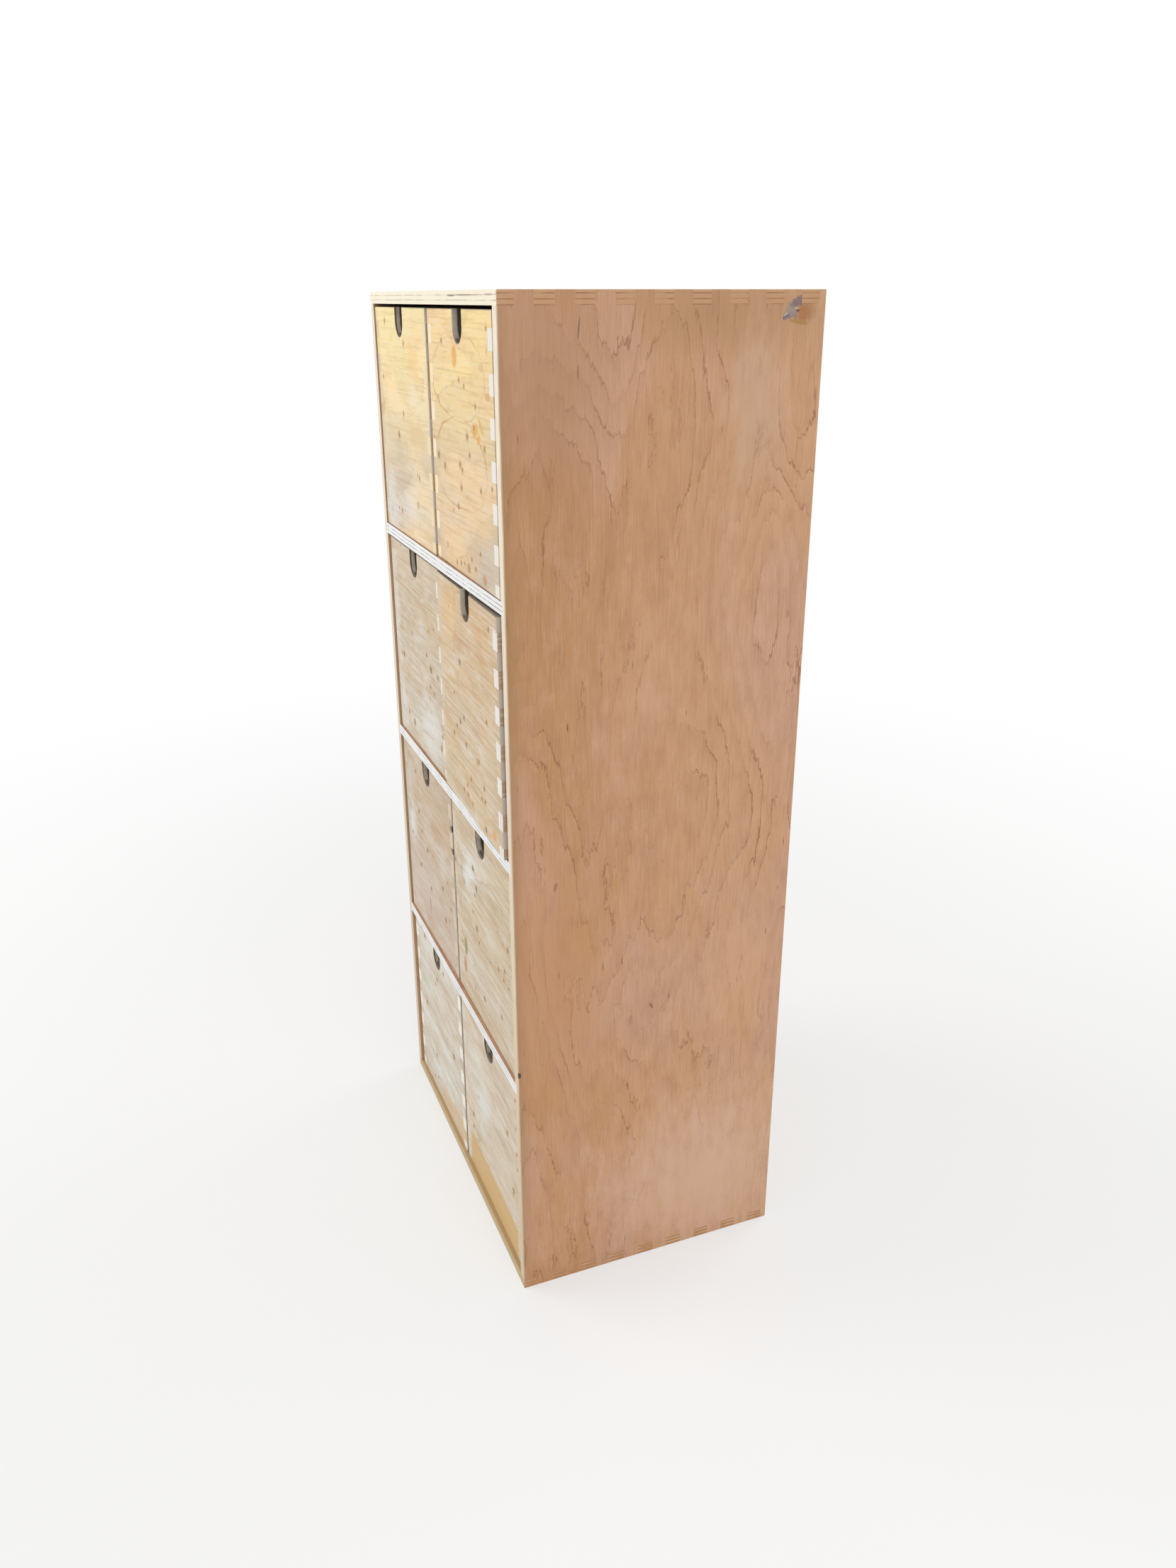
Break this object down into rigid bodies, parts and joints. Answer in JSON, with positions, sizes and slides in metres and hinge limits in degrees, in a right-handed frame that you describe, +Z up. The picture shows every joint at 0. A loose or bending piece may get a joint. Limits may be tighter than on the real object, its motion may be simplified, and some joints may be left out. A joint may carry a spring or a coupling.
{
  "type": "drawer cabinet",
  "caption": "Tall open-front plywood case with finger-jointed corners, shelves and paired loose box drawers, each with a round-bottomed finger notch.",
  "frame": {"origin": "centre of the case footprint, on the face that stands on the floor", "axes": "+X to the right seen from the front, +Y from the drawer fronts to the back, +Z up"},
  "size_m": [0.63, 0.4224, 1.41],
  "materials": {
    "case_plywood": "five-ply birch-faced plywood, lightly oiled, with pale cut edges",
    "drawer_plywood": "five-ply birch-faced plywood, bare sanded, with pale cut edges",
    "thin_plywood": "thin three-ply birch plywood, bare",
    "steel_pins": "bright steel panel pins"
  },
  "bodies": {
    "case": {"case_left_side": "case_plywood", "case_right_side": "case_plywood", "case_top": "case_plywood", "case_bottom": "case_plywood", "upper_shelf": "case_plywood", "middle_shelf": "case_plywood", "lower_shelf": "case_plywood", "case_back": "thin_plywood", "back_pins": "steel_pins"},
    "row1_left_drawer": {"row1_left_drawer_front": "drawer_plywood", "row1_left_drawer_back": "drawer_plywood", "row1_left_drawer_left_wall": "drawer_plywood", "row1_left_drawer_right_wall": "drawer_plywood", "row1_left_drawer_floor": "thin_plywood"},
    "row1_right_drawer": {"row1_right_drawer_front": "drawer_plywood", "row1_right_drawer_back": "drawer_plywood", "row1_right_drawer_left_wall": "drawer_plywood", "row1_right_drawer_right_wall": "drawer_plywood", "row1_right_drawer_floor": "thin_plywood"},
    "row2_left_drawer": {"row2_left_drawer_front": "drawer_plywood", "row2_left_drawer_back": "drawer_plywood", "row2_left_drawer_left_wall": "drawer_plywood", "row2_left_drawer_right_wall": "drawer_plywood", "row2_left_drawer_floor": "thin_plywood"},
    "row2_right_drawer": {"row2_right_drawer_front": "drawer_plywood", "row2_right_drawer_back": "drawer_plywood", "row2_right_drawer_left_wall": "drawer_plywood", "row2_right_drawer_right_wall": "drawer_plywood", "row2_right_drawer_floor": "thin_plywood"},
    "row3_left_drawer": {"row3_left_drawer_front": "drawer_plywood", "row3_left_drawer_back": "drawer_plywood", "row3_left_drawer_left_wall": "drawer_plywood", "row3_left_drawer_right_wall": "drawer_plywood", "row3_left_drawer_floor": "thin_plywood"},
    "row3_right_drawer": {"row3_right_drawer_front": "drawer_plywood", "row3_right_drawer_back": "drawer_plywood", "row3_right_drawer_left_wall": "drawer_plywood", "row3_right_drawer_right_wall": "drawer_plywood", "row3_right_drawer_floor": "thin_plywood"},
    "row4_left_drawer": {"row4_left_drawer_front": "drawer_plywood", "row4_left_drawer_back": "drawer_plywood", "row4_left_drawer_left_wall": "drawer_plywood", "row4_left_drawer_right_wall": "drawer_plywood", "row4_left_drawer_floor": "thin_plywood"},
    "row4_right_drawer": {"row4_right_drawer_front": "drawer_plywood", "row4_right_drawer_back": "drawer_plywood", "row4_right_drawer_left_wall": "drawer_plywood", "row4_right_drawer_right_wall": "drawer_plywood", "row4_right_drawer_floor": "thin_plywood"}
  },
  "joints": [
    {"name": "row1_left_drawer_slide", "type": "slide", "parent": "case", "child": "row1_left_drawer", "axis": [0, -1, 0], "range_m": [-0.0042, 0.2958]},
    {"name": "row1_right_drawer_slide", "type": "slide", "parent": "case", "child": "row1_right_drawer", "axis": [0, -1, 0], "range_m": [-0.0017, 0.2983]},
    {"name": "row2_left_drawer_slide", "type": "slide", "parent": "case", "child": "row2_left_drawer", "axis": [0, -1, 0], "range_m": [-0.0026, 0.2974]},
    {"name": "row2_right_drawer_slide", "type": "slide", "parent": "case", "child": "row2_right_drawer", "axis": [0, -1, 0], "range_m": [-0.0056, 0.2944]},
    {"name": "row3_left_drawer_slide", "type": "slide", "parent": "case", "child": "row3_left_drawer", "axis": [0, -1, 0], "range_m": [-0.001, 0.299]},
    {"name": "row3_right_drawer_slide", "type": "slide", "parent": "case", "child": "row3_right_drawer", "axis": [0, -1, 0], "range_m": [-0.0004, 0.2996]},
    {"name": "row4_left_drawer_slide", "type": "slide", "parent": "case", "child": "row4_left_drawer", "axis": [0, -1, 0], "range_m": [-0.0012, 0.2988]},
    {"name": "row4_right_drawer_slide", "type": "slide", "parent": "case", "child": "row4_right_drawer", "axis": [0, -1, 0], "range_m": [-0.0004, 0.2996]}
  ]
}
